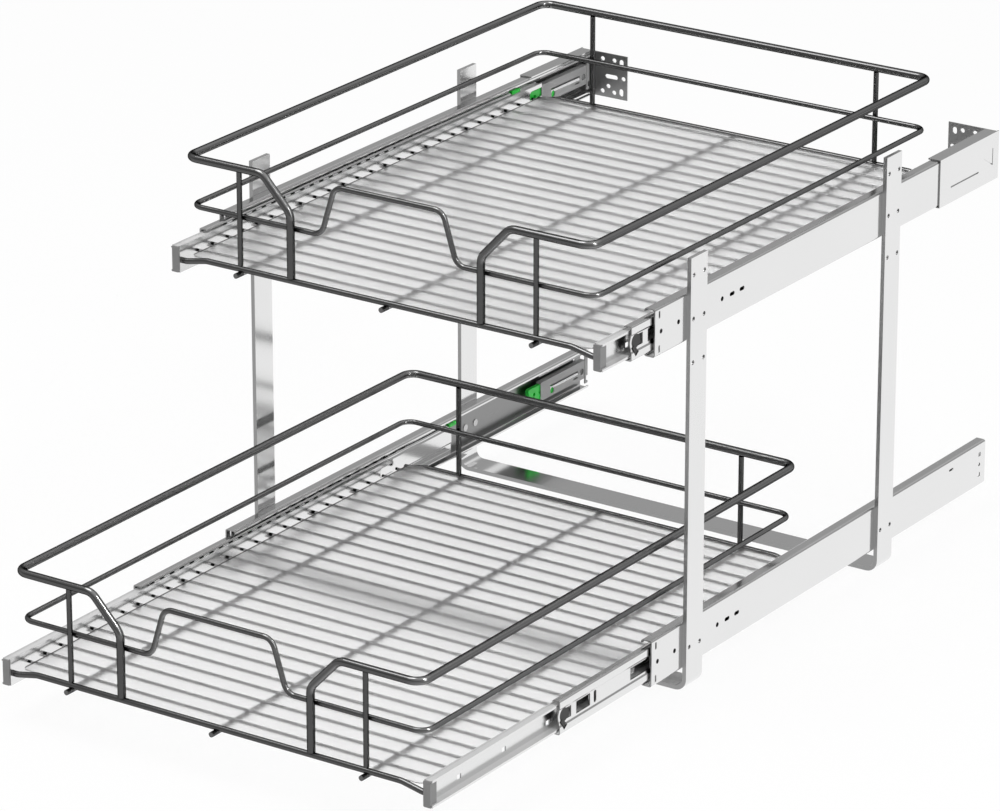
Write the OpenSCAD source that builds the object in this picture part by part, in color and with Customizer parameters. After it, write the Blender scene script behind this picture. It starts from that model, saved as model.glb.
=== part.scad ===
// Two-tier pull out cabinet basket. Two bent strip frames carry four ball-bearing
// slides, and a wire basket hangs between the sliding rails of each pair.
// +X is to the right seen from the front, +Y goes to the back of the cabinet, +Z is up.
// The origin is under the middle of the front frame's foot, where it stands on the floor.
// The model stands with both baskets partly pulled out.

/* [Unit] */
// Width over the outer faces of the uprights
unit_width = 482; // [430:1:560]
// Distance between the centre lines of the front and the rear frame
frame_pitch = 337; // [280:1:400]
// Height of the uprights
upright_height = 414; // [408:1:470]
// Height of the lower slides' centre line above the floor
lower_rail_z = 44.5; // [34:0.5:60]
// Height of the upper slides above the lower slides
tier_pitch = 314; // [250:1:320]

/* [Strip frames] */
// Width of the steel strip
strip_width = 27; // [24:1:34]
// Thickness of the steel strip
strip_thickness = 4; // [3:0.5:5]
// Outer radius of the bend between upright and foot
strip_bend = 12; // [8:1:18]
// Distance between the two holes of a pair
hole_spacing = 17.4; // [14:0.1:19]
// Diameter of the tapped holes for the slide screws
hole_diameter = 4.2; // [4.1:0.1:5]
// How far the holes lie below the slides' centre lines
hole_drop = 2; // [0:0.5:3]
// Height step between the three mounting levels at the top
level_step = 41; // [34:1:46]

/* [Slides] */
// Length of the closed slide
rail_length = 600; // [560:1:640]
// How far the slides stand out in front of the front frame's centre line
rail_overhang = 65; // [50:1:80]
// Height of the outer member
rail_height = 45; // [44:0.5:46]
// Thickness of the whole slide across the cabinet
slide_thickness = 12.7; // [12.4:0.1:13.2]
// Sheet thickness of the slide members
rail_sheet = 1.2; // [1:0.1:1.3]
// Height of the middle member
middle_height = 32.5; // [31.5:0.5:33]
// Height of the inner member over its lips
inner_height = 25.4; // [24.8:0.1:25.8]
// Depth of the inner member across the cabinet
inner_depth = 8.2; // [7.8:0.1:8.4]
// Middle member's travel for each millimetre that the basket travels
middle_ratio = 0.426; // [0.4:0.01:0.5]
// Diameter of the balls between outer and middle member
outer_ball_diameter = 4.6; // [4.2:0.1:4.8]
// Diameter of the balls between middle and inner member
inner_ball_diameter = 2.8; // [2.4:0.1:3]
// Distance between neighbouring balls in a cage
ball_pitch = 15; // [11:0.5:20]
// Length of the cages that hold the outer balls
outer_cage_length = 230; // [180:1:240]
// Length of the cages that hold the inner balls
inner_cage_length = 270; // [200:1:280]
// Thickness of the cage strips
cage_sheet = 0.8; // [0.6:0.1:0.9]
// How much shorter the inner member is than the closed slide
inner_short = 10; // [6:1:16]
// Thickness of the plastic cap on the inner member's front end
cap_thickness = 2; // [1.5:0.1:3]

/* [Pulled out at rest] */
// How far the upper basket is pulled out
upper_pull = 78.8; // [60:0.1:100]
// How far the lower basket is pulled out
lower_pull = 337.1; // [300:0.1:360]

/* [Baskets] */
// Depth of the upper basket between its front and rear wires
upper_depth = 577.4; // [540:0.1:600]
// Depth of the lower basket between its front and rear wires
lower_depth = 604.4; // [560:0.1:630]
// Gap between the top rail and the slide at each side
basket_gap = 2.75; // [2:0.25:6]
// Height of the base wires' centre above the slide's centre line
base_rise = 2.5; // [0:0.5:5]
// Distance from the front of the slide caps to the front wires' centre
front_setback = 6.4; // [5:0.1:10]
// Height of the top rail above the base wires
top_rail_height = 95.3; // [80:0.1:120]
// Height of the middle wire rail above the base wires
mid_rail_height = 47.5; // [36:0.5:60]
// Diameter of the top rail wire
top_wire = 7.5; // [6:0.5:9]
// Diameter of the middle wire rail
mid_wire = 5; // [4:0.5:6]
// Diameter of the posts
post_wire = 5; // [4:0.5:6]
// Diameter of the front and rear base wires
base_wire = 5.5; // [4.5:0.5:6]
// Diameter of the three long wires under the floor
long_wire = 5; // [4:0.5:6]
// Diameter of the floor's cross wires
cross_wire = 2.8; // [2.2:0.1:4]
// Distance between neighbouring cross wires
cross_pitch = 22.65; // [16:0.05:30]
// Bend radius of the rails' plan corners
corner_bend = 12; // [10:1:16]
// Distance between the left and right posts, and between the outer long wires
post_spacing = 319.8; // [300:0.1:330]
// Distance between the two legs at the front
leg_spacing = 205.4; // [190:0.1:220]
// Distance along X that the top rail takes to slope down to a leg
slope_run = 30.5; // [28:0.5:36]
// Drop of the top rail where it reaches the leg
slope_drop = 32.3; // [28:0.1:36]
// Bend radius at the top and the bottom of that slope
slope_bend = 14; // [8:1:16]
// Width of the raised part of the middle wire rail at its foot
hump_foot = 146; // [140:1:156]
// Width of the raised part of the middle wire rail at its top
hump_top = 116; // [100:1:124]
// Bend radius of the raised part
hump_bend = 12; // [8:1:14]
// How far the long wires stand out past the front and rear base wires
long_stub = 4; // [3:0.5:8]
// Length at each end of a base wire that slopes down to the slide
end_slope = 22; // [16:1:30]
// Drop of that sloping end
end_drop = 4.5; // [2:0.5:6]
// Thickness of the plastic floor liner
liner_thickness = 1; // [0.6:0.1:1.5]
// Gap at each side between the liner and the slide
liner_margin = 7.3; // [6:0.1:16]

/* [Rear brackets] */
// Length of the sleeve around the slide's rear end
sleeve_length = 110; // [90:1:130]
// Sheet thickness of the bracket
bracket_sheet = 1.2; // [1:0.1:2]
// Width of the rear flange from the sleeve's outer face
flange_width = 54.7; // [50:0.1:70]
// Height of the rear flange
flange_height = 45.6; // [45:0.1:48]
// Diameter of the round holes in the flange
flange_hole = 4.5; // [3.5:0.1:5]
// Gap between the end of the slide and the flange
flange_gap = 3.3; // [2:0.1:6]

/* [Soft-close units] */
// Length of the damper housing
damper_length = 81; // [76:1:90]
// Height of the damper housing
damper_height = 19.6; // [19.4:0.1:19.8]
// Distance from the slide's rear end to the housing
damper_rear_gap = 4.5; // [3:0.5:8]
// Travel of the soft-close catch
catch_travel = 45; // [35:1:47]
// Gap between the closed middle member's rear end and the damper housing
middle_gap = 6.5; // [5:0.5:9]

/* [Hidden] */
$fn = 48;
// Room between parts that slide past each other
slide_clearance = 0.3;
// Room between a release lever and its hole
lever_clearance = 0.08;
// Overlap of two wires at a weld
weld = 0.2;
// A bent wire's straight lengths stop short of its bends, and sleeves join them
seam_gap = 0.06;
seam_cover = 0.3;
// Width and height of an inner rail's punched window, and depth of its tab
tab_width = 6;
tab_height = 5;
tab_depth = 5;
// A tab carries the second cross wire and then every third one
tab_first = 2;
tab_every = 3;

frame_x = unit_width / 2;
rail_face_x = frame_x - strip_thickness - slide_thickness;
rail_front_y = -rail_overhang;
rail_rear_y = rail_front_y + rail_length;
upper_rail_z = lower_rail_z + tier_pitch;

// Places across the slide, measured from its basket side
outer_web = slide_thickness - rail_sheet;
outer_lip = rail_sheet;
outer_lip_height = 3.3;
middle_back = outer_web - 1.3;
middle_web = middle_back - rail_sheet;
middle_lip = 1.8;
middle_lip_height = 1.8;
middle_length = rail_length - damper_rear_gap - damper_length - middle_gap;
screw_head_height = 0.7;

// Heights of the races above the slide's centre line
outer_race = rail_height / 2 - rail_sheet;
middle_race_top = middle_height / 2;
middle_race_low = middle_race_top - rail_sheet;
inner_race = inner_height / 2 - 0.9;
inner_lip_sheet = 0.8;

// The basket's own places, measured from the centre of its front base wire
rail_x = rail_face_x - basket_gap - top_wire / 2;
post_x = post_spacing / 2;
leg_x = leg_spacing / 2;
long_z = -(base_wire / 2 + long_wire / 2 - weld);
cross_z = long_z + long_wire / 2 + cross_wire / 2 - weld;
liner_z = cross_z + cross_wire / 2;
mid_y = top_wire / 2 + mid_wire / 2 - weld;
// The posts' backs are level with the legs' backs
post_y = (top_wire - post_wire) / 2;

// The housing's front end, its face towards the basket and its lower edge
damper_y = rail_rear_y - damper_rear_gap - damper_length;
damper_face = 2.4;
damper_back = 8.4;
damper_wall = 0.8;
damper_low = -0.4 - damper_height / 2;
// The catch: a block in front of the housing and a lower tail inside it
block_low = -2.5;
block_high = 7.4;
block_front = 20;
block_rear = 1;
tail_low = -8.6;
tail_high = -2.2;
tail_rear = 28;
// The round hole that shows the tail, and the slot above it
sight_y = 20.5;
sight_z = -4.9;
sight_diameter = 6.6;
slot_low = -2.8;
slot_middle = -0.2;
slot_high = 1.5;
slot_front = 17;
slot_rear = 68;

zinc = [0.82, 0.83, 0.84];
wire_grey = [0.33, 0.33, 0.34];
cap_grey = [0.5, 0.5, 0.51];
black_plastic = [0.08, 0.08, 0.08];
catch_green = [0.15, 0.78, 0.25];
frosted = [0.88, 0.9, 0.9];
steel = [0.7, 0.7, 0.72];

// ---- helpers ----

function unit(v) = v / norm(v);
function turn(u, v) = acos(max(-1, min(1, u * v)));
function tangent(points, i, r) =
    (i == 0 || i == len(points) - 1) ? 0 :
    r * tan(turn(unit(points[i] - points[i - 1]), unit(points[i + 1] - points[i])) / 2);

// A straight wire from a to b
module straight(a, b, d) {
    run = b - a;
    translate(a)
        rotate([0, acos(run.z / norm(run)), atan2(run.y, run.x)])
            cylinder(h = norm(run), d = d);
}

// The round bend of a wire at corner p, from direction u to direction v
module bend(p, u, v, r, d) {
    angle = turn(u, v);
    centre = p + unit(v - u) * r / cos(angle / 2);
    ex = unit(p - u * r * tan(angle / 2) - centre);
    ez = unit(cross(u, v));
    ey = cross(ez, ex);
    multmatrix([[ex.x, ey.x, ez.x, centre.x],
                [ex.y, ey.y, ez.y, centre.y],
                [ex.z, ey.z, ez.z, centre.z],
                [0, 0, 0, 1]])
        rotate_extrude(angle = angle)
            translate([r, 0])
                circle(d = d);
}

// A short sleeve, hardly thicker than the wire, that joins two lengths of it at p
module joint_sleeve(p, u, d) {
    straight(p - u * seam_cover, p + u * seam_cover, d + 0.02);
}

// One wire bent along points; radii gives the bend at each corner
module bent_wire(points, radii, d) {
    for (i = [0 : len(points) - 2]) {
        u = unit(points[i + 1] - points[i]);
        near = tangent(points, i, radii[i]);
        far = tangent(points, i + 1, radii[i + 1]);
        straight(points[i] + u * (near == 0 ? 0 : near + seam_gap),
                 points[i + 1] - u * (far == 0 ? 0 : far + seam_gap), d);
        if (near != 0)
            joint_sleeve(points[i] + u * near, u, d);
        if (far != 0)
            joint_sleeve(points[i + 1] - u * far, u, d);
    }
    for (i = [1 : len(points) - 2])
        bend(points[i], unit(points[i] - points[i - 1]),
             unit(points[i + 1] - points[i]), radii[i], d);
}

// A rectangle with true round corners
module round_square(low, high, r) {
    translate([low.x + r, low.y])
        square([high.x - low.x - 2 * r, high.y - low.y]);
    translate([low.x, low.y + r])
        square([high.x - low.x, high.y - low.y - 2 * r]);
    for (x = [low.x + r, high.x - r], y = [low.y + r, high.y - r])
        translate([x, y])
            circle(r = r);
}

// Extrudes a section drawn in X and Z from y0 to y1
module along_y(y0, y1) {
    translate([0, y1, 0])
        rotate([90, 0, 0])
            linear_extrude(y1 - y0)
                children();
}

// Places a slide part; side is 1 for right and -1 for left
module on_side(side, z) {
    translate([0, 0, z])
        if (side > 0)
            translate([rail_face_x, 0, 0]) children();
        else
            mirror([1, 0, 0]) translate([rail_face_x, 0, 0]) children();
}

// A hole through sheet that faces X, at (y, z)
module hole_x(x0, x1, y, z, d) {
    translate([x0, y, z])
        rotate([0, 90, 0])
            cylinder(h = x1 - x0, d = d);
}

// A slot through sheet that faces X, with round ends along Y
module slot_x(x0, x1, y, z, length, width) {
    for (s = [-1, 1])
        hole_x(x0, x1, y + s * (length - width) / 2, z, width);
    translate([x0, y - (length - width) / 2, z - width / 2])
        cube([x1 - x0, length - width, width]);
}

// A slot through sheet that faces X, with round ends along Z
module slot_z(x0, x1, y, z, length, width) {
    for (s = [-1, 1])
        hole_x(x0, x1, y, z + s * (length - width) / 2, width);
    translate([x0, y - width / 2, z - (length - width) / 2])
        cube([x1 - x0, width, length - width]);
}

// A square window through sheet that faces X
module window_x(x0, x1, y0, y1, z0, z1) {
    translate([x0, y0, z0])
        cube([x1 - x0, y1 - y0, z1 - z0]);
}

// ---- strip frames ----

function hole_levels() = [lower_rail_z - hole_drop, upper_rail_z - hole_drop - level_step,
    upper_rail_z - hole_drop,
    min(upper_rail_z - hole_drop + level_step, upright_height - 2 * hole_diameter)];

module strip_section() {
    difference() {
        union() {
            translate([-frame_x, strip_bend])
                square([2 * frame_x, upright_height - strip_bend]);
            translate([-frame_x + strip_bend, 0])
                square([2 * (frame_x - strip_bend), strip_bend]);
            for (s = [-1, 1])
                translate([s * (frame_x - strip_bend), strip_bend])
                    circle(r = strip_bend);
        }
        inner_x = frame_x - strip_thickness;
        inner_bend = strip_bend - strip_thickness;
        translate([-inner_x, strip_bend])
            square([2 * inner_x, upright_height]);
        translate([-frame_x + strip_bend, strip_thickness])
            square([2 * (frame_x - strip_bend), upright_height]);
        for (s = [-1, 1])
            translate([s * (frame_x - strip_bend), strip_bend])
                circle(r = inner_bend);
    }
}

module strip_frame(y) {
    color(zinc)
        difference() {
            along_y(y - strip_width / 2, y + strip_width / 2)
                strip_section();
            for (z = hole_levels(), s = [-1, 1], side = [-1, 1])
                translate([side * frame_x, 0, 0])
                    hole_x(-2 * strip_thickness, 2 * strip_thickness,
                           y + s * hole_spacing / 2, z, hole_diameter);
        }
}

module front_frame() { strip_frame(0); }
module rear_frame() { strip_frame(frame_pitch); }

// ---- slides ----

// A channel with round corners that opens towards low X between its lips
module channel(x0, x1, height, lip_height, r) {
    difference() {
        round_square([x0, -height / 2], [x1, height / 2], r);
        round_square([x0 + rail_sheet, -height / 2 + rail_sheet],
                     [x1 - rail_sheet, height / 2 - rail_sheet], r - rail_sheet);
        translate([x0 - 1, -height / 2 + lip_height])
            square([rail_sheet + 1.5, height - 2 * lip_height]);
    }
}

module outer_rail() {
    cut0 = outer_web - 1;
    cut1 = slide_thickness + 1;
    front = rail_front_y;
    rear = rail_rear_y;
    color(zinc)
        difference() {
            along_y(front, rear)
                channel(outer_lip, slide_thickness, rail_height, outer_lip_height, 2.4);
            // fixing holes behind the front end, as punched in such slides
            for (s = [-1, 1])
                slot_z(cut0, cut1, front + 6.8, s * 16, 7, 2.4);
            hole_x(cut0, cut1, front + 9.7, 0, flange_hole);
            hole_x(cut0, cut1, front + 38, 0, flange_hole);
            hole_x(cut0, cut1, front + 110, 0, flange_hole);
            slot_x(cut0, cut1, front + 126.7, 0, 8, 3.6);
            slot_x(cut0, cut1, front + 143.2, 0, 8, 3.6);
            // holes of the frame screws
            for (y = screw_places())
                hole_x(cut0, cut1, y, -hole_drop, hole_diameter + 0.2);
            // rear end
            for (s = [-1, 1])
                window_x(cut0, cut1, rear - 13, rear - 9, s * 10.5 - 2, s * 10.5 + 2);
            hole_x(cut0, cut1, rear - 11, 0, 3.6);
            slot_x(cut0, cut1, rear - 66, 12.4, 8, 2.2);
        }
}

// A plastic strip under the outer member's upper lip, beside the damper housing
module rail_end_strips() {
    color(cap_grey)
        for (z = [lower_rail_z, upper_rail_z], side = [-1, 1])
            on_side(side, z)
                window_x(outer_lip + 0.2, outer_lip + rail_sheet, damper_y - 5, rail_rear_y - 0.5,
                         17.2, rail_height / 2 - outer_lip_height - 0.1);
}

function screw_places() = [for (f = [0, 1], s = [-1, 1])
    f * frame_pitch + s * hole_spacing / 2];

module rail_screw() {
    shank = hole_diameter - 0.3;
    translate([outer_web - screw_head_height, 0, 0])
        rotate([0, 90, 0]) {
            difference() {
                cylinder(h = screw_head_height, d = 7);
                translate([0, 0, -0.1])
                    cylinder(h = 0.5, d = 2.8, $fn = 6);
            }
            cylinder(h = screw_head_height + rail_sheet + strip_thickness - 1.5, d = shank);
        }
}

module rail_screws() {
    color(steel)
        for (z = [lower_rail_z, upper_rail_z], side = [-1, 1], y = screw_places())
            on_side(side, z - hole_drop)
                translate([0, y, 0])
                    rail_screw();
}

// How far a middle member has come out with the basket pulled out by pull
function middle_shift(pull) = pull * middle_ratio;

// The release lever's pivot, from the middle member's front end and from its centre line
lever_y = 7.5;
lever_z = 0.9;
lever_radius = 6.5;
lever_bar = 8.8;
lever_length = 7.7;
// Swing that the lever's hole leaves it, in degrees
lever_swing = 6;
// The web's centre band is pressed in by this much between the two bands
web_step = 0.9;
band_inner = 7.2;
band_outer = 9;

// Shape of the lever in its own plane, or of the hole that it swings in
module lever_shape(grow, swing) {
    circle(r = lever_radius + grow);
    translate([0, -lever_bar / 2 - 9 * swing])
        square([lever_length + 38 * swing, lever_bar + 18 * swing]);
}

// The lever's thumb tail, which hangs below its head
module tail_shape(swing) {
    translate([-4, -4.2])
        rotate(-55)
            translate([-12 * swing, -1.7 - 13 * swing])
                square([8.5 + 24 * swing, 3.4 + 26 * swing]);
}

// Draws in the plane of the web: the drawing's X goes to the back and its Y goes up
module in_web(x0, x1, y, z) {
    translate([x0, y, z])
        rotate([90, 0, 90])
            linear_extrude(x1 - x0)
                children();
}

module middle_section() {
    difference() {
        union() {
            channel(middle_lip, middle_back, middle_height, middle_lip_height, 2);
            polygon([[middle_web - web_step, -band_inner], [middle_web - web_step, band_inner],
                     [middle_web, band_outer], [middle_back, band_outer],
                     [middle_back, -band_outer], [middle_web, -band_outer]]);
        }
        polygon([[middle_back - web_step, -band_inner], [middle_back - web_step, band_inner],
                 [middle_back + 1, band_inner + 1.9 * (band_outer - band_inner)],
                 [middle_back + 1, -band_inner - 1.9 * (band_outer - band_inner)]]);
    }
}

module middle_rail(pull) {
    front = rail_front_y - middle_shift(pull);
    rear = front + middle_length;
    cut0 = middle_web - 2;
    cut1 = middle_back + 1;
    color(zinc)
        difference() {
            union() {
                along_y(front, rear)
                    middle_section();
                // round nose in front of the lever
                hole_x(middle_web - web_step, middle_back - web_step, front + lever_y, lever_z,
                       2 * (lever_radius + 2.6));
            }
            in_web(cut0, cut1, front + lever_y, lever_z) {
                lever_shape(lever_clearance, 0.1);
                tail_shape(0.1);
            }
            // windows behind the lever
            window_x(cut0, cut1, front + 27, front + 49, -5.2, 6.4);
            slot_z(cut0, cut1, front + 57, 0.6, 11.6, 4);
            window_x(cut0, cut1, front + 114, front + 147, -5.2, 6.4);
        }
}

module release_lever(pull) {
    front = rail_front_y - middle_shift(pull);
    color(black_plastic) {
        in_web(middle_web - web_step, middle_back - web_step, front + lever_y, lever_z)
            lever_shape(0, 0);
        in_web(middle_web - 0.4, middle_back - 0.5, front + lever_y, lever_z)
            tail_shape(0);
        // rims that keep the lever in the web
        in_web(middle_web - web_step - 0.3, middle_web - web_step - 0.05, front + lever_y, lever_z)
            circle(r = lever_radius + 1.2);
        in_web(middle_web - web_step - 0.1, middle_web - web_step + 0.1, front + lever_y, lever_z)
            circle(r = lever_radius);
    }
}

// The inner member opens away from the basket
module inner_section() {
    square_to([0, -inner_height / 2], [rail_sheet, inner_height / 2]);
    for (s = [-1, 1]) {
        scale([1, s])
            square_to([0, inner_race - rail_sheet], [inner_depth, inner_race]);
        scale([1, s])
            square_to([inner_depth - inner_lip_sheet, inner_race - rail_sheet],
                      [inner_depth, inner_height / 2]);
    }
}

module square_to(low, high) {
    translate(low)
        square(high - low);
}

// Cross wires' places along Y, from the front base wire
function cross_places(depth) = [for (k = [1 : floor((depth - 10) / cross_pitch)])
    k * cross_pitch];
function tab_places(depth) = [for (k = [tab_first : tab_every : floor((depth - 10) / cross_pitch)])
    k * cross_pitch];

function cap_front_y(pull) = rail_front_y - pull;
function basket_y(pull) = cap_front_y(pull) + front_setback;

module inner_rail(pull, depth) {
    front = cap_front_y(pull) + cap_thickness;
    rear = cap_front_y(pull) + rail_length - inner_short;
    tab_top = base_rise + cross_z - cross_wire / 2 + weld / 4;
    places = [for (y = tab_places(depth)) if (basket_y(pull) + y < rear - 40) basket_y(pull) + y];
    color(zinc) {
        difference() {
            along_y(front, rear)
                inner_section();
            for (y = places)
                window_x(-1, rail_sheet + 0.2, y - tab_width / 2, y + tab_width / 2,
                         tab_top - rail_sheet - tab_height, tab_top - rail_sheet);
            // notch at the rear end, over the soft-close catch
            window_x(-1, rail_sheet + 0.2, rear - 17.5, rear + 1, -0.2, 8.9);
            window_x(-1, rail_sheet + 0.2, rear - 21, rear - 17, -0.2, 5.4);
            hole_x(-1, rail_sheet + 0.2, rear - 17.5, 5.4, 7);
        }
        for (y = places)
            window_x(-tab_depth, rail_sheet / 2, y - tab_width / 2, y + tab_width / 2,
                     tab_top - rail_sheet, tab_top);
    }
}

module end_cap(pull) {
    front = cap_front_y(pull);
    half = inner_race - rail_sheet - slide_clearance;
    color(cap_grey) {
        // its middle is lower, so that the lever and the middle member's nose pass it
        along_y(front, front + cap_thickness)
            difference() {
                round_square([0, -inner_height / 2 + 0.5],
                             [inner_depth, inner_height / 2 - 0.5], 1);
                square_to([middle_web - web_step - 0.8, -10.6], [inner_depth + 1, 10.6]);
            }
        // plug inside the member
        along_y(front + cap_thickness - 0.5, front + cap_thickness + 9)
            square_to([rail_sheet, -half], [inner_depth - 2, half]);
    }
}

// ---- balls and their cages ----

function ball_places(length) = [for (k = [0 : floor((length - ball_pitch) / ball_pitch)])
    (k + 0.5) * ball_pitch + (length % ball_pitch) / 2];

module cage_strip(x0, x1, z, y, length, ball) {
    difference() {
        translate([x0, y, z - cage_sheet / 2])
            cube([x1 - x0, length, cage_sheet]);
        for (p = ball_places(length))
            translate([(x0 + x1) / 2, y + p, z - cage_sheet])
                cylinder(h = 2 * cage_sheet, d = ball + 0.3);
    }
}

module ball_row(x, z, y, length, ball) {
    for (p = ball_places(length))
        translate([x, y + p, z])
            sphere(d = ball);
}

outer_ball_z = (outer_race + middle_race_top) / 2;
inner_ball_z = (middle_race_low + inner_race) / 2;
outer_cage = [3, 9];
inner_cage = [1.5, 7];

// Front ends of the cages with the basket pulled out by pull
outer_cage_ratio = middle_ratio / 2;
inner_cage_ratio = 0.48;
function outer_cage_y(pull) = rail_front_y + 134 - pull * outer_cage_ratio;
function inner_cage_y(pull) = rail_front_y + 31.3 - pull * inner_cage_ratio;

module outer_cages(z, pull) {
    color(steel)
        for (side = [-1, 1], s = [-1, 1])
            on_side(side, z)
                cage_strip(outer_cage.x, outer_cage.y, s * outer_ball_z,
                           outer_cage_y(pull), outer_cage_length, outer_ball_diameter);
}

module outer_balls(z, pull) {
    color(steel)
        for (side = [-1, 1], s = [-1, 1])
            on_side(side, z)
                ball_row((outer_cage.x + outer_cage.y) / 2, s * outer_ball_z,
                         outer_cage_y(pull), outer_cage_length, outer_ball_diameter);
}

module inner_cages(z, pull) {
    color(steel)
        for (side = [-1, 1], s = [-1, 1])
            on_side(side, z)
                cage_strip(inner_cage.x, inner_cage.y, s * inner_ball_z,
                           inner_cage_y(pull), inner_cage_length, inner_ball_diameter);
}

module inner_balls(z, pull) {
    color(steel)
        for (side = [-1, 1], s = [-1, 1])
            on_side(side, z)
                ball_row((inner_cage.x + inner_cage.y) / 2, s * inner_ball_z,
                         inner_cage_y(pull), inner_cage_length, inner_ball_diameter);
}

// ---- soft-close units ----

module damper_housing() {
    low = damper_low;
    high = damper_low + damper_height;
    rear = damper_y + damper_length;
    cut0 = damper_face - 1;
    cut1 = damper_face + damper_wall + 0.2;
    color(cap_grey)
        difference() {
            union() {
                window_x(damper_face, damper_back, damper_y, rear, low, high);
                window_x(damper_back - 0.1, outer_web, damper_y + 6, rear - 6, low + 3, high - 3);
                // plate at the rear end
                window_x(damper_face - 0.6, damper_face + 0.6, rear - 1.2, rear + 3.6, -16, 14.5);
            }
            // room of the catch, open at the front
            window_x(damper_face + damper_wall, damper_back - 0.6, damper_y - 1,
                     damper_y + tail_rear + catch_travel + 3,
                     tail_low - 0.4, block_high + 0.4);
            hole_x(cut0, cut1, damper_y + sight_y, sight_z, sight_diameter);
            // long slot with a slanting lower lip
            along_y(damper_y + slot_front, damper_y + slot_rear)
                polygon([[damper_face - 0.1, slot_low - 0.2], [damper_face - 0.1, slot_high],
                         [cut1, slot_high], [cut1, slot_middle]]);
            // further holes of the housing
            slot_x(cut0, cut1, damper_y + 63.5, -5.5, 8, 1.6);
            hole_x(cut0, cut1 + 1, damper_y + 75, -1.8, 6.6);
            window_x(cut0, cut1, rear + 1, rear + 4, -13.7, -8);
        }
}

module damper_catch() {
    face = damper_face + damper_wall + slide_clearance;
    back = damper_back - 0.9;
    color(catch_green)
        difference() {
            union() {
                window_x(face, back, damper_y - block_front, damper_y + block_rear,
                         block_low, block_high);
                window_x(face, back, damper_y - block_front / 2, damper_y + tail_rear,
                         tail_low, tail_high);
                window_x(face, back, damper_y - block_front / 2, damper_y + block_rear,
                         tail_low, block_high);
            }
            // holes in the block
            hole_x(face - 1, back + 1, damper_y - 10.5, 0, 4.2);
            hole_x(face - 1, back + 1, damper_y - 1.5, -0.6, 2.2);
        }
}

// ---- rear brackets ----

module flange_slot_x(x, z, length, width) {
    for (s = [-1, 1])
        translate([x + s * (length - width) / 2, 0, z])
            hole_y(width);
    translate([x - (length - width) / 2, -5, z - width / 2])
        cube([length - width, 10, width]);
}

module flange_slot_z(x, z, length, width) {
    for (s = [-1, 1])
        translate([x, 0, z + s * (length - width) / 2])
            hole_y(width);
    translate([x - width / 2, -5, z - (length - width) / 2])
        cube([width, 10, length - width]);
}

module hole_y(d) {
    rotate([90, 0, 0])
        cylinder(h = 10, d = d, center = true);
}

module rear_bracket() {
    skin = slide_thickness + bracket_sheet;
    half = rail_height / 2;
    flange_y = rail_rear_y + flange_gap;
    sleeve_y = flange_y - sleeve_length;
    color(zinc)
        difference() {
            union() {
                // sleeve: outer wall, top and bottom
                window_x(slide_thickness, skin, sleeve_y, flange_y + bracket_sheet,
                         -half - bracket_sheet, half + bracket_sheet);
                for (s = [-1, 1])
                    scale([1, 1, s])
                        window_x(0.4, skin, sleeve_y, rail_rear_y + 1, half, half + bracket_sheet);
                // rear flange
                window_x(skin - flange_width, skin, flange_y, flange_y + bracket_sheet,
                         -flange_height / 2, flange_height / 2);
            }
            // long thin slot and the cut around the stop tab in the outer wall
            slot_x(slide_thickness - 1, skin + 1, flange_y - 63, -8.2, 53, 1.6);
            slot_z(slide_thickness - 1, skin + 1, flange_y - 10, 0.5, 17, 1);
            translate([0, flange_y - 10, -7.5])
                rotate([-30, 0, 0])
                    translate([slide_thickness - 1, -20, -0.5])
                        cube([bracket_sheet + 2, 20, 1]);
            // flange holes, placed from the sleeve's outer face
            translate([skin, flange_y, 0]) {
                for (x = [-25.3, -39.1], z = [16.6, -17])
                    translate([x, 0, z])
                        hole_y(flange_hole);
                translate([-50, 0, -1])
                    hole_y(flange_hole);
                translate([-32.2, 0, -11.2])
                    hole_y(flange_hole);
                flange_slot_z(-47.6, 15.2, 7, flange_hole);
                flange_slot_z(-47.6, -15.6, 7.6, flange_hole);
                flange_slot_x(-35.8, -1, 14.5, flange_hole);
            }
        }
}

module left_rear_bracket() { on_side(-1, upper_rail_z) rear_bracket(); }
module right_rear_bracket() { on_side(1, upper_rail_z) rear_bracket(); }

// ---- wire baskets; y0 is the front base wire, z0 its centre ----

module top_rail(depth) {
    side = rail_x;
    points = [
        [-leg_x, 0, base_wire / 2 - weld],
        [-leg_x, 0, top_rail_height - slope_drop],
        [-leg_x - slope_run, 0, top_rail_height],
        [-side, 0, top_rail_height],
        [-side, depth, top_rail_height],
        [side, depth, top_rail_height],
        [side, 0, top_rail_height],
        [leg_x + slope_run, 0, top_rail_height],
        [leg_x, 0, top_rail_height - slope_drop],
        [leg_x, 0, base_wire / 2 - weld]];
    color(wire_grey)
        bent_wire(points, [0, slope_bend, slope_bend, corner_bend, corner_bend,
                           corner_bend, corner_bend, slope_bend, slope_bend, 0], top_wire);
}

module mid_rail(depth) {
    front = mid_y;
    rear = depth - mid_y;
    side = rail_x;
    foot = hump_foot / 2;
    crown = hump_top / 2;
    low = mid_rail_height;
    high = top_rail_height;
    points = [
        [0, rear, low],
        [side, rear, low],
        [side, front, low],
        [foot, front, low],
        [crown, front, high],
        [-crown, front, high],
        [-foot, front, low],
        [-side, front, low],
        [-side, rear, low],
        [0, rear, low]];
    color(wire_grey)
        bent_wire(points, [0, corner_bend, corner_bend, hump_bend, hump_bend,
                           hump_bend, hump_bend, corner_bend, corner_bend, 0], mid_wire);
}

module posts(depth) {
    color(wire_grey)
        for (s = [-1, 1], y = [post_y, depth - post_y])
            translate([s * post_x, y, base_wire / 2 - weld])
                cylinder(h = top_rail_height - base_wire / 2 - top_wire / 2 + 2 * weld,
                         d = post_wire);
}

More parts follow.
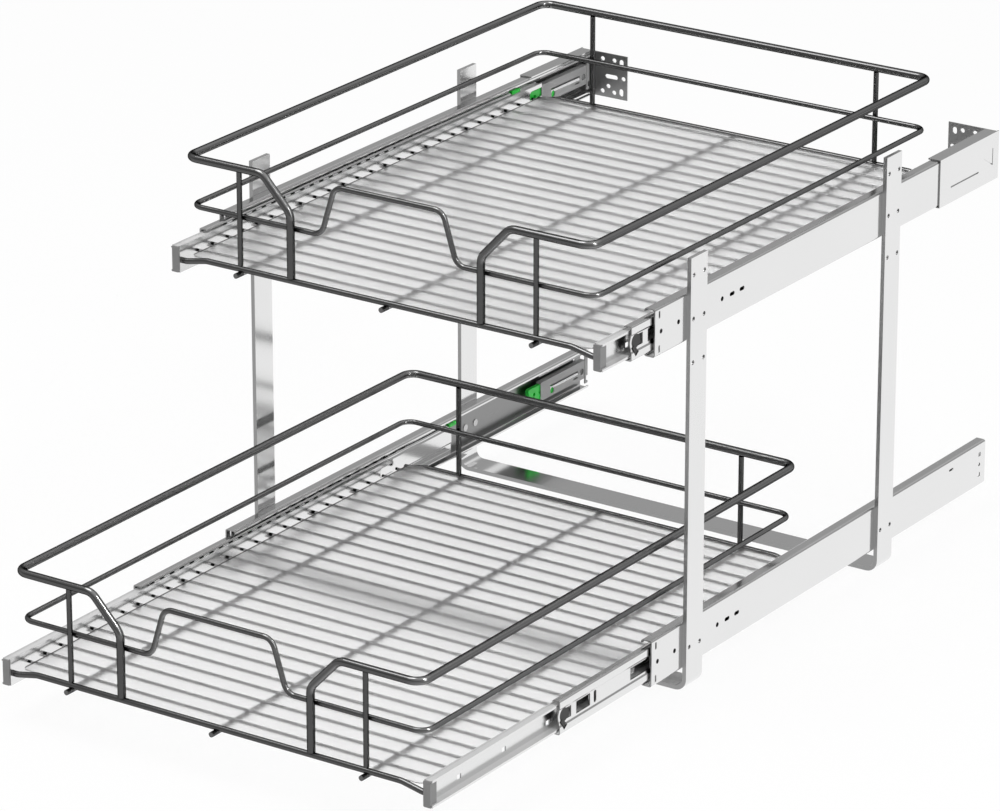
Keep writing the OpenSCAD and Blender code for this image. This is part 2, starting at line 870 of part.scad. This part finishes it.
// A base wire reaches both slides and slopes down at its ends
module cross_base_wire() {
    reach = rail_face_x + weld / 4;
    color(wire_grey)
        bent_wire([[-reach, 0, -end_drop],
                   [-reach + 5, 0, -end_drop],
                   [-reach + 5 + end_slope, 0, 0],
                   [reach - 5 - end_slope, 0, 0],
                   [reach - 5, 0, -end_drop],
                   [reach, 0, -end_drop]],
                  [0, 16, 20, 20, 16, 0], base_wire);
}

module long_wires(depth) {
    color(wire_grey)
        for (x = [-post_x, 0, post_x])
            translate([x, -base_wire / 2 - long_stub, long_z])
                rotate([-90, 0, 0])
                    cylinder(h = depth + base_wire + 2 * long_stub, d = long_wire);
}

module cross_wires(depth) {
    reach = rail_face_x + weld / 4;
    color(wire_grey)
        for (y = cross_places(depth))
            translate([-reach, y, cross_z])
                rotate([0, 90, 0])
                    cylinder(h = 2 * reach, d = cross_wire);
}

module liner(depth) {
    half = rail_face_x - liner_margin;
    margin = base_wire / 2 + slide_clearance;
    corner = 6;
    color(frosted)
        translate([0, 0, liner_z])
            linear_extrude(liner_thickness)
                round_square([-half, margin], [half, depth - margin], corner);
}

module in_basket(pull, rail_z) {
    translate([0, basket_y(pull), rail_z + base_rise])
        children();
}

module upper_basket() { in_basket(upper_pull, upper_rail_z) children(); }
module lower_basket() { in_basket(lower_pull, lower_rail_z) children(); }

module rear_base_wire(depth) {
    translate([0, depth, 0])
        cross_base_wire();
}

// ---- the parts ----

front_frame();
rear_frame();
on_side(-1, upper_rail_z) outer_rail();  // upper_left_outer_rail
on_side(1, upper_rail_z) outer_rail();  // upper_right_outer_rail
on_side(-1, lower_rail_z) outer_rail();  // lower_left_outer_rail
on_side(1, lower_rail_z) outer_rail();  // lower_right_outer_rail
rail_screws();
rail_end_strips();
left_rear_bracket();
right_rear_bracket();
on_side(-1, upper_rail_z) damper_housing();  // upper_left_damper_housing
on_side(1, upper_rail_z) damper_housing();  // upper_right_damper_housing
on_side(-1, lower_rail_z) damper_housing();  // lower_left_damper_housing
on_side(1, lower_rail_z) damper_housing();  // lower_right_damper_housing
on_side(-1, upper_rail_z) damper_catch();  // upper_left_damper_catch
on_side(1, upper_rail_z) damper_catch();  // upper_right_damper_catch
on_side(-1, lower_rail_z) damper_catch();  // lower_left_damper_catch
on_side(1, lower_rail_z) damper_catch();  // lower_right_damper_catch
on_side(-1, upper_rail_z) middle_rail(upper_pull);  // upper_left_middle_rail
on_side(1, upper_rail_z) middle_rail(upper_pull);  // upper_right_middle_rail
on_side(-1, lower_rail_z) middle_rail(lower_pull);  // lower_left_middle_rail
on_side(1, lower_rail_z) middle_rail(lower_pull);  // lower_right_middle_rail
on_side(-1, upper_rail_z) release_lever(upper_pull);  // upper_left_release_lever
on_side(1, upper_rail_z) release_lever(upper_pull);  // upper_right_release_lever
on_side(-1, lower_rail_z) release_lever(lower_pull);  // lower_left_release_lever
on_side(1, lower_rail_z) release_lever(lower_pull);  // lower_right_release_lever
outer_cages(upper_rail_z, upper_pull);  // upper_outer_ball_cages
outer_balls(upper_rail_z, upper_pull);  // upper_outer_balls
inner_cages(upper_rail_z, upper_pull);  // upper_inner_ball_cages
inner_balls(upper_rail_z, upper_pull);  // upper_inner_balls
outer_cages(lower_rail_z, lower_pull);  // lower_outer_ball_cages
outer_balls(lower_rail_z, lower_pull);  // lower_outer_balls
inner_cages(lower_rail_z, lower_pull);  // lower_inner_ball_cages
inner_balls(lower_rail_z, lower_pull);  // lower_inner_balls
on_side(-1, upper_rail_z) inner_rail(upper_pull, upper_depth);  // upper_left_inner_rail
on_side(1, upper_rail_z) inner_rail(upper_pull, upper_depth);  // upper_right_inner_rail
on_side(-1, lower_rail_z) inner_rail(lower_pull, lower_depth);  // lower_left_inner_rail
on_side(1, lower_rail_z) inner_rail(lower_pull, lower_depth);  // lower_right_inner_rail
on_side(-1, upper_rail_z) end_cap(upper_pull);  // upper_left_end_cap
on_side(1, upper_rail_z) end_cap(upper_pull);  // upper_right_end_cap
on_side(-1, lower_rail_z) end_cap(lower_pull);  // lower_left_end_cap
on_side(1, lower_rail_z) end_cap(lower_pull);  // lower_right_end_cap
upper_basket() top_rail(upper_depth);  // upper_top_rail
upper_basket() mid_rail(upper_depth);  // upper_mid_rail
upper_basket() posts(upper_depth);  // upper_posts
upper_basket() cross_base_wire();  // upper_front_base_wire
upper_basket() rear_base_wire(upper_depth);  // upper_rear_base_wire
upper_basket() long_wires(upper_depth);  // upper_long_wires
upper_basket() cross_wires(upper_depth);  // upper_cross_wires
upper_basket() liner(upper_depth);  // upper_liner
lower_basket() top_rail(lower_depth);  // lower_top_rail
lower_basket() mid_rail(lower_depth);  // lower_mid_rail
lower_basket() posts(lower_depth);  // lower_posts
lower_basket() cross_base_wire();  // lower_front_base_wire
lower_basket() rear_base_wire(lower_depth);  // lower_rear_base_wire
lower_basket() long_wires(lower_depth);  // lower_long_wires
lower_basket() cross_wires(lower_depth);  // lower_cross_wires
lower_basket() liner(lower_depth);  // lower_liner
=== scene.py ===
import math

import bmesh
import bpy
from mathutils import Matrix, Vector


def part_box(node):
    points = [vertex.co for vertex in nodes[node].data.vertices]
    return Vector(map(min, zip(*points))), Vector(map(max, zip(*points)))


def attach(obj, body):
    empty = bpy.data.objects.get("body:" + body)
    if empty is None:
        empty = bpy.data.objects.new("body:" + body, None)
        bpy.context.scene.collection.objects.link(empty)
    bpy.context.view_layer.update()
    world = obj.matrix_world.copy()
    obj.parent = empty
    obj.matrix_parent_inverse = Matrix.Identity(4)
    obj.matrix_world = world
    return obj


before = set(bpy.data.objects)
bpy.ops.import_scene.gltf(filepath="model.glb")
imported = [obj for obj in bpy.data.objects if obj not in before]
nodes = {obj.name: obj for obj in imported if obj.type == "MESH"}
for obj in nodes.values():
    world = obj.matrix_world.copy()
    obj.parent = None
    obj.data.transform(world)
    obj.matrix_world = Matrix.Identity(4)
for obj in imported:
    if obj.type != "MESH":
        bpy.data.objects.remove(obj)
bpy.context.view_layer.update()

tiers = ("upper", "lower")
sides = ("left", "right")
print("frame loaded with", len(nodes), "nodes")


class Sock:
    # one output of a shader node, which can be reckoned with
    def __init__(self, tree, out=None):
        self.tree = tree
        self.out = out

    def node(self, kind, settings=None, inputs=None, output=0):
        made = self.tree.nodes.new(kind)
        for name, value in (settings or {}).items():
            if name == "stops":
                ramp = made.color_ramp.elements
                while len(ramp) < len(value):
                    ramp.new(1.0)
                for stop, (place, tone) in zip(ramp, value):
                    stop.position = place
                    stop.color = (tone, tone, tone, 1.0)
            else:
                setattr(made, name, value)
        for name, value in (inputs or {}).items():
            if isinstance(value, Sock):
                self.tree.links.new(value.out, made.inputs[name])
            else:
                made.inputs[name].default_value = value
        return Sock(self.tree, made.outputs[output]) if len(made.outputs) else None

    def maths(self, operation, a, b=0.0):
        return self.node("ShaderNodeMath", {"operation": operation}, {0: a, 1: b})

    def __add__(self, other):
        return self.maths("ADD", self, other)

    def __radd__(self, other):
        return self.maths("ADD", other, self)

    def __sub__(self, other):
        return self.maths("SUBTRACT", self, other)

    def __rsub__(self, other):
        return self.maths("SUBTRACT", other, self)

    def __mul__(self, other):
        return self.maths("MULTIPLY", self, other)

    def __rmul__(self, other):
        return self.maths("MULTIPLY", other, self)

    def __gt__(self, other):
        return self.maths("GREATER_THAN", self, other)

    def mixTo(self, first, second):
        # from the first colour to the second as this value goes from 0 to 1
        return self.node("ShaderNodeMix", {"data_type": "RGBA"}, {0: self, 6: first, 7: second}, 2)

    def scaled(self, factors):
        return self.node("ShaderNodeVectorMath", {"operation": "MULTIPLY"}, {0: self, 1: factors})


def grey(v, warm=0.0):
    return (v * (1 + warm), v, v * (1 - warm), 1.0)


def newMaterial(name):
    made = bpy.data.materials.new(name)
    made.use_nodes = True
    made.node_tree.nodes.clear()
    return made, Sock(made.node_tree)


def finishMaterial(pen, values, bump=None):
    if bump is not None:
        values = dict(values, Normal=bump)
    shader = pen.node("ShaderNodeBsdfPrincipled", {}, values)
    pen.node("ShaderNodeOutputMaterial", {}, {"Surface": shader})


def bumpOf(pen, height, strength, distance):
    return pen.node("ShaderNodeBump", {}, {"Strength": strength, "Distance": distance,
                                           "Height": height})


def noiseOf(pen, place, scale, detail=3.0):
    return pen.node("ShaderNodeTexNoise", {}, {"Vector": place, "Scale": scale, "Detail": detail,
                                               "Roughness": 0.55})


def axisOf(pen, vector, axis):
    return pen.node("ShaderNodeSeparateXYZ", {}, {"Vector": vector}, axis)


def sizeOf(pen, value):
    return pen.maths("ABSOLUTE", value)


# steep is the cosine from which a face counts as facing along an axis
# edge and flange are the darker painted shade tones of faces that look to the front and back
zincLook = {"tone": 0.83, "dark": 0.77, "edge": 0.32, "flange": 0.24, "rough": 0.10, "spread": 0.06,
            "grain": 900.0, "cloud": 9.0, "steep": 0.75, "edgeRough": 0.25, "raceMatte": 0.75,
            "insideRough": 0.15, "bump": 0.02, "depth": 0.0001}
# metres: past the web an outer rail's inside gets a painted shade, and a darker painted
# shade that fades at its edges and its rear end makes the middle rail's windows dark
paintedShadeLook = {"web": 0.2345, "half": 0.010, "edge": 0.003, "past": 0.022, "fade": 0.045,
              "dark": 0.028}
# metres: the slide's centre and how far back the darker painted shade reaches; and the painted
# shade tone of the rail's inside
shadePlaces = {"upper": {"centre": 0.3585, "rear": 0.38, "insideShade": 0.53},
                "lower": {"centre": 0.0445, "rear": 0.28, "insideShade": 0.27}}


def brightZinc(name, stretch, cutFaceShade="edge", shadePlace=None, satin=0.0):
    # rolled steel with a bright zinc plating; faces towards the front and back are rougher sheared
    # edges with a darker painted shade, the fourth argument places a painted shade on the rail's
    # inside, and satin adds roughness and takes the mirror off the races that face up
    made, pen = newMaterial(name)
    look = zincLook
    place = pen.node("ShaderNodeTexCoord", {}, {}, "Object")
    facing = pen.node("ShaderNodeTexCoord", {}, {}, "Normal")
    cut = sizeOf(pen, axisOf(pen, facing, "Y")) > look["steep"]
    grain = noiseOf(pen, place.scaled(stretch), look["grain"], 4.0)
    cloud = noiseOf(pen, place, look["cloud"], 2.0)
    tone = (grain * 0.4 + cloud * 0.6).mixTo(grey(look["dark"]), grey(look["tone"]))
    # faces towards the front and back are painted darker: painted shade over their real rougher
    # sheared finish
    tone = cut.mixTo(tone, grey(look[cutFaceShade]))
    rough = look["rough"] + satin + (grain * 0.5 + cloud * 0.5) * look["spread"]
    rough = rough + cut * look["edgeRough"]
    metal = 1.0
    if satin > 0:
        race = axisOf(pen, facing, "Z") > look["steep"]
        metal = 1 - race * look["raceMatte"]
    if shadePlace is not None:
        shadeLook = paintedShadeLook
        across, along, up = (axisOf(pen, place, axis) for axis in "XYZ")
        outward = axisOf(pen, facing, "X")
        inside = pen.maths("LESS_THAN", across * outward, -shadeLook["web"])
        fade = (shadePlace["rear"] + shadeLook["past"] - along) * (1 / shadeLook["fade"])
        edge = (shadeLook["half"] - sizeOf(pen, up - shadePlace["centre"])) * (1 / shadeLook["edge"])
        shadeMask = inside
        for part in (fade, edge):
            shadeMask = shadeMask * pen.maths("MAXIMUM", pen.maths("MINIMUM", part, 1.0), 0.0)
        # painted shade on the rail's inside, darkest where the middle rail's windows look in
        tone = inside.mixTo(tone, grey(shadePlace["insideShade"]))
        tone = shadeMask.mixTo(tone, grey(shadeLook["dark"]))
        rough = rough + inside * look["insideRough"]
    finishMaterial(pen, {"Base Color": tone, "Metallic": metal, "Roughness": rough},
                   bumpOf(pen, grain, look["bump"], look["depth"]))
    return made


# faces that look sideways get a darker painted shade and the shoulders of wires that run along
# the slide a lighter painted highlight; steady is how soon the tone of the other faces is reached
wireLook = {"upright": 0.08, "tone": 0.13, "paintedShoulderHighlight": 0.34, "steady": 2.0, "rough": 0.16,
            "spread": 0.05, "rim": 0.1, "cloud": 24.0}
# metres from the middle: where a cross wire leaves the liner, and its weld to the slide
# the darkest tone is a painted shade where a cross wire meets the slide
wireEnds = {"bare": 0.2165, "weld": 0.2222, "tone": 0.5, "weldShade": 0.01}
# stub is the length in metres that a long wire stands out in front of and behind the liner
# cross and long are the floor wires' tones, painted lighter for the light they get through the
# liner; worn is a random tone share
litFloorTones = {"cross": 0.27, "long": 0.46, "worn": 0.9, "stub": 0.0095}


def darkNickel(name, litTone=None, ends=None, span=None):
    # drawn wire with a dark bright plating, with painted shade on faces that look sideways and a
    # painted highlight on the shoulders; the floor's wires are painted lighter for the light they
    # get through the liner, the cross wires bright past the liner with a painted shade at the weld,
    # and span is the stretch of the long wires between their stubs
    made, pen = newMaterial(name)
    look = wireLook
    place = pen.node("ShaderNodeTexCoord", {}, {}, "Object")
    cloud = noiseOf(pen, place, look["cloud"], 2.0)
    if litTone is None:
        facing = pen.node("ShaderNodeTexCoord", {}, {}, "Normal")
        across, up = (axisOf(pen, facing, axis) for axis in "XZ")
        raised = pen.maths("MINIMUM", sizeOf(pen, up) * look["steady"], 1.0)
        highlightMask = sizeOf(pen, across * up) * 2.0  # 1 on faces halfway between side and top
        # painted shade on faces that look sideways, painted highlight on the shoulders
        tone = raised.mixTo(grey(look["upright"]), grey(look["tone"]))
        tone = highlightMask.mixTo(tone, grey(look["paintedShoulderHighlight"]))
    else:
        # the floor's wires are painted lighter: painted light standing in for light through the
        # liner
        tone = cloud.mixTo(grey(litTone * litFloorTones["worn"]), grey(litTone))
    if span is not None:
        along = axisOf(pen, place, "Y")
        stub = pen.maths("MAXIMUM", pen.maths("LESS_THAN", along, span[0]), along > span[1])
        tone = stub.mixTo(tone, grey(look["tone"]))
    if ends is not None:
        side = sizeOf(pen, axisOf(pen, place, "X"))
        tone = (side > ends["bare"]).mixTo(tone, grey(ends["tone"]))
        # painted shade where the wire meets the slide
        tone = (side > ends["weld"]).mixTo(tone, grey(ends["weldShade"]))
    finishMaterial(pen, {"Base Color": tone, "Metallic": 1.0,
                         "Roughness": look["rough"] + cloud * look["spread"],
                         "Specular Tint": grey(look["rim"])})
    return made


ballLook = {"dark": 0.45, "tone": 0.62, "rough": 0.2, "spread": 0.12, "cloud": 300.0}


def plainSteel(name):
    # polished steel of the balls and the screws
    made, pen = newMaterial(name)
    place = pen.node("ShaderNodeTexCoord", {}, {}, "Object")
    look = ballLook
    cloud = noiseOf(pen, place, look["cloud"])
    finishMaterial(pen, {"Base Color": cloud.mixTo(grey(look["dark"]), grey(look["tone"])),
                         "Metallic": 1.0, "Roughness": look["rough"] + cloud * look["spread"]})
    return made


# pitch in metres between the pockets, of which open is the open share
# tone and metal are painted light on the shaded strip, and the pocket tone is a painted shade
cageLook = {"pitch": 0.015, "open": 0.45, "tone": 0.92, "pocketShade": 0.01, "metal": 0.35,
            "rough": 0.24, "spread": 0.08, "pocketRough": 0.3, "cloud": 300.0}


def cageStrip(name):
    # bright strip, its tone raised and its metal lowered as painted light where it sits shaded
    # under the lip, with a painted shade in the pocket at each ball
    made, pen = newMaterial(name)
    place = pen.node("ShaderNodeTexCoord", {}, {}, "Object")
    look = cageLook
    step = pen.maths("FRACT", axisOf(pen, place, "Y") * (1 / look["pitch"]))
    pocketShade = pen.maths("LESS_THAN", step, look["open"])
    cloud = noiseOf(pen, place, look["cloud"])
    rough = look["rough"] + cloud * look["spread"] + pocketShade * look["pocketRough"]
    finishMaterial(pen, {"Base Color": pocketShade.mixTo(grey(look["tone"]), grey(look["pocketShade"])),
                         "Metallic": look["metal"], "Roughness": rough})
    return made


plasticLook = {"cloud": 90.0, "grain": 2600.0, "spread": 0.1, "bump": 0.15, "depth": 0.0002,
               "tilt": 0.15, "lean": 0.6}


def mouldedPlastic(name, dark, light, rough, lip=None):
    # grained plastic; lip is the colour of faces that slant up out of the side wall
    made, pen = newMaterial(name)
    look = plasticLook
    place = pen.node("ShaderNodeTexCoord", {}, {}, "Object")
    cloud = noiseOf(pen, place, look["cloud"], 2.0)
    grain = noiseOf(pen, place, look["grain"], 2.0)
    tone = cloud.mixTo(dark, light)
    if lip is not None:
        facing = pen.node("ShaderNodeTexCoord", {}, {}, "Normal")
        tilt = sizeOf(pen, axisOf(pen, facing, "Z"))
        lean = sizeOf(pen, axisOf(pen, facing, "X"))
        tone = ((tilt > look["tilt"]) * (lean > look["lean"])).mixTo(tone, lip)
    finishMaterial(pen, {"Base Color": tone, "Roughness": rough + grain * look["spread"]},
                   bumpOf(pen, grain, look["bump"], look["depth"]))
    return made


# rim is where the cut edge begins, in metres from the middle
linerLook = {"tone": 1.0, "dark": 0.98, "rough": 0.27, "spread": 0.02, "clear": 0.95, "ior": 1.2,
             "rim": 0.2157, "edgeShadeTone": 0.10, "cloud": 5.0, "frost": 1500.0}


def frostedSheet(name):
    # frosted plastic sheet that lets the floor wires show through
    made, pen = newMaterial(name)
    look = linerLook
    place = pen.node("ShaderNodeTexCoord", {}, {}, "Object")
    cloud = noiseOf(pen, place, look["cloud"], 2.0)
    frost = noiseOf(pen, place, look["frost"])
    side = sizeOf(pen, axisOf(pen, place, "X"))
    tone = cloud.mixTo(grey(look["dark"]), grey(look["tone"]))
    # the cut edge gets a painted shadow
    tone = (side > look["rim"]).mixTo(tone, grey(look["edgeShadeTone"]))  # the cut edge looks dark
    finishMaterial(pen, {"Base Color": tone, "Roughness": look["rough"] + frost * look["spread"],
                         "Transmission Weight": look["clear"], "IOR": look["ior"]})
    return made


# the rolled grain runs up the frames and along the rails
upFrame = (1.0, 1.0, 0.03)
alongRail = (1.0, 0.03, 1.0)
steelFrame = brightZinc("steelFrame", upFrame)
steelRail = brightZinc("steelRail", alongRail)
steelInner = brightZinc("steelInnerRail", alongRail, satin=0.06)
steelBracket = brightZinc("steelBracket", alongRail, "flange")
# outer rails carry a painted shade on their inside
shadedRails = {tier: brightZinc(tier + "GreasedRail", alongRail, "edge", shadePlaces[tier])
                for tier in tiers}
wireFinish = darkNickel("darkNickelWire")
crossWireFinish = darkNickel("darkNickelCrossWire", litFloorTones["cross"], wireEnds)
longWireFinish = {}
for tier in tiers:
    low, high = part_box(tier + "_long_wires")
    longWireFinish[tier] = darkNickel(tier + "LongWire", litFloorTones["long"], None,
                                      (low[1] + litFloorTones["stub"], high[1] - litFloorTones["stub"]))
ballSteel = plainSteel("ballSteel")
cageSteel = cageStrip("cageSteel")
capPlastic = mouldedPlastic("greyCapPlastic", grey(0.21), grey(0.25), 0.42)
housingPlastic = mouldedPlastic("greyHousingPlastic", grey(0.33), grey(0.37), 0.38, grey(0.9))
stripPlastic = mouldedPlastic("greyStripPlastic", grey(0.40), grey(0.46), 0.38)
leverPlastic = mouldedPlastic("blackLeverPlastic", grey(0.012), grey(0.02), 0.4)
catchPlastic = mouldedPlastic("greenCatchPlastic", (0.012, 0.56, 0.04, 1), (0.02, 0.64, 0.06, 1),
                              0.3)
linerSheet = frostedSheet("frostedLiner")


def finishOf(name):
    # the finish that the real piece has, found by the node's name
    if name.endswith("frame"):
        return steelFrame
    if name.endswith("cages"):
        return cageSteel
    if "ball" in name or "screws" in name:
        return ballSteel
    if "end_strips" in name:
        return stripPlastic
    if "outer_rail" in name:
        return shadedRails[name.split("_")[0]]
    if "bracket" in name:
        return steelBracket
    if "end_cap" in name:
        return capPlastic
    if "housing" in name:
        return housingPlastic
    if "lever" in name:
        return leverPlastic
    if "catch" in name:
        return catchPlastic
    if name.endswith("liner"):
        return linerSheet
    if "inner_rail" in name:
        return steelInner
    if "cross_wires" in name:
        return crossWireFinish
    if "long_wires" in name:
        return longWireFinish[name.split("_")[0]]
    if "middle_rail" in name:
        return steelRail
    return wireFinish


for name, obj in nodes.items():
    obj.data.materials.clear()
    obj.data.materials.append(finishOf(name))
print("finishes given to every node")


# lengths in millimetres: the buffer's length along the rail, how far it reaches back from the
# lip, its wall, the depth of its front, its rounding and its clearance to the rail
bumperLook = {"long": 14.0, "back": 4.0, "skin": 0.9, "drop": 2.6, "round": 0.2, "gap": 0.03}


def makeBumper(tier, side):
    # green clip that grips the upper lip of the middle rail at its rear end
    look = bumperLook
    low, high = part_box(f"{tier}_{side}_middle_rail")
    mirror = 1 if side == "right" else -1
    # the lip is the part of the rail that is nearest to the basket
    lip = min(abs(low[0]), abs(high[0]))
    rear = high[1]
    top = high[2]
    mm = 0.001
    outline = [(-look["skin"], -look["drop"]), (-look["skin"], look["skin"]),
               (look["back"], look["skin"]), (look["back"], look["gap"]),
               (-look["gap"], look["gap"]), (-look["gap"], -look["drop"])]
    shape = bmesh.new()
    ends = []
    for y in (rear - look["long"] * mm, rear):
        ends.append([shape.verts.new((mirror * (lip + x * mm), y, top + z * mm))
                     for x, z in outline])
    for i in range(len(outline)):
        j = (i + 1) % len(outline)
        shape.faces.new((ends[0][i], ends[0][j], ends[1][j], ends[1][i]))
    for end in ends:
        shape.faces.new(end)
    bmesh.ops.recalc_face_normals(shape, faces=shape.faces)
    broad = [edge for edge in shape.edges if edge.calc_length() > 0.8 * mm]
    bmesh.ops.bevel(shape, geom=broad, offset=look["round"] * mm, segments=2, affect="EDGES",
                    clamp_overlap=True)
    mesh = bpy.data.meshes.new(f"{tier}_{side}_rail_bumper")
    shape.to_mesh(mesh)
    shape.free()
    mesh.materials.append(catchPlastic)
    piece = bpy.data.objects.new(mesh.name, mesh)
    bpy.context.scene.collection.objects.link(piece)
    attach(piece, f"{tier}_{side}_middle_rail")


for tier in tiers:
    for side in sides:
        makeBumper(tier, side)
print("buffers made on the middle rails")


# reach in metres; glow is how bright the camera sees the floor, whose shadows show in the rest
stageLook = {"reach": 30.0, "tone": 0.86, "glow": 0.93}


def makeFloor():
    mesh = bpy.data.meshes.new("floorSheet")
    shape = bmesh.new()
    bmesh.ops.create_grid(shape, x_segments=2, y_segments=2, size=stageLook["reach"])
    shape.to_mesh(mesh)
    shape.free()
    floor = bpy.data.objects.new("floorSheet", mesh)
    bpy.context.scene.collection.objects.link(floor)
    made, pen = newMaterial("paleFloor")
    path = pen.node("ShaderNodeLightPath", {}, {}, "Is Camera Ray")
    gloss = pen.node("ShaderNodeLightPath", {}, {}, "Is Glossy Ray")
    through = pen.node("ShaderNodeLightPath", {}, {}, "Is Transmission Ray")
    seen = pen.maths("MAXIMUM", pen.maths("MAXIMUM", path * stageLook["glow"], gloss), through)
    matte = pen.node("ShaderNodeBsdfDiffuse", {}, {"Color": grey(stageLook["tone"])})
    glow = pen.node("ShaderNodeEmission", {}, {"Color": (1, 1, 1, 1), "Strength": 1.0})
    both = pen.node("ShaderNodeMixShader", {}, {0: seen, 1: matte, 2: glow})
    pen.node("ShaderNodeOutputMaterial", {}, {"Surface": both})
    mesh.materials.append(made)


# tone of the room at the sine of the height above the horizon
worldLook = ((0.0, 0.34), (0.45, 0.36), (0.7, 0.62), (1.0, 0.85))


def makeWorld():
    world = bpy.data.worlds.new("studioRoom")
    world.use_nodes = True
    world.node_tree.nodes.clear()
    pen = Sock(world.node_tree)
    # dim walls around the object and a brighter ceiling above it
    way = pen.node("ShaderNodeTexCoord", {}, {}, "Generated")
    height = axisOf(pen, way, "Z")
    room = pen.node("ShaderNodeValToRGB", {"stops": worldLook}, {0: height})
    room = pen.node("ShaderNodeBackground", {}, {"Color": room, "Strength": 1.0})
    pen.node("ShaderNodeOutputWorld", {}, {"Surface": room})
    bpy.context.scene.world = world


# watts, and metres for places and sizes
lampLooks = {
    "overheadSoftbox": {"at": (-0.9, -0.6, 3.0), "aim": (0, -0.1, 0.2), "size": (1.6, 1.6),
                        "power": 40.0},
    "highSpot": {"at": (2.0, -0.1, 2.5), "aim": (0, 0, 0.3), "size": (0.3, 0.3),
                 "power": 14.0},
    "rightStrip": {"at": (3.2, -0.4, 1.6), "aim": (0, 0, 0.25), "size": (0.7, 2.4),
                   "power": 26.0},
}


def makeLamp(name, look):
    lamp = bpy.data.lights.new(name, "AREA")
    lamp.shape = "RECTANGLE"
    lamp.size, lamp.size_y = look["size"]
    lamp.energy = look["power"]
    holder = bpy.data.objects.new(name, lamp)
    holder.location = look["at"]
    way = Vector(look["aim"]) - Vector(look["at"])
    holder.rotation_euler = way.to_track_quat("-Z", "Y").to_euler()
    bpy.context.scene.collection.objects.link(holder)


# metres, degrees, and millimetres for lens and sensor
cameraLook = {"at": (2.6737, -3.8867, 2.0238), "tilt": 69.08, "turn": 34.23, "lens": 199.43,
              "sensor": 36.0, "reach": 100.0}


def makeCamera():
    lens = bpy.data.cameras.new("photoCamera")
    lens.sensor_fit = "HORIZONTAL"
    lens.sensor_width = cameraLook["sensor"]
    lens.lens = cameraLook["lens"]
    lens.clip_end = cameraLook["reach"]
    camera = bpy.data.objects.new("photoCamera", lens)
    camera.location = cameraLook["at"]
    camera.rotation_euler = (math.radians(cameraLook["tilt"]), 0,
                             math.radians(cameraLook["turn"]))
    bpy.context.scene.collection.objects.link(camera)
    bpy.context.scene.camera = camera


makeFloor()
makeWorld()
for name, look in lampLooks.items():
    makeLamp(name, look)
makeCamera()
bpy.context.scene.view_settings.view_transform = "Standard"
print("stage, light and camera set")
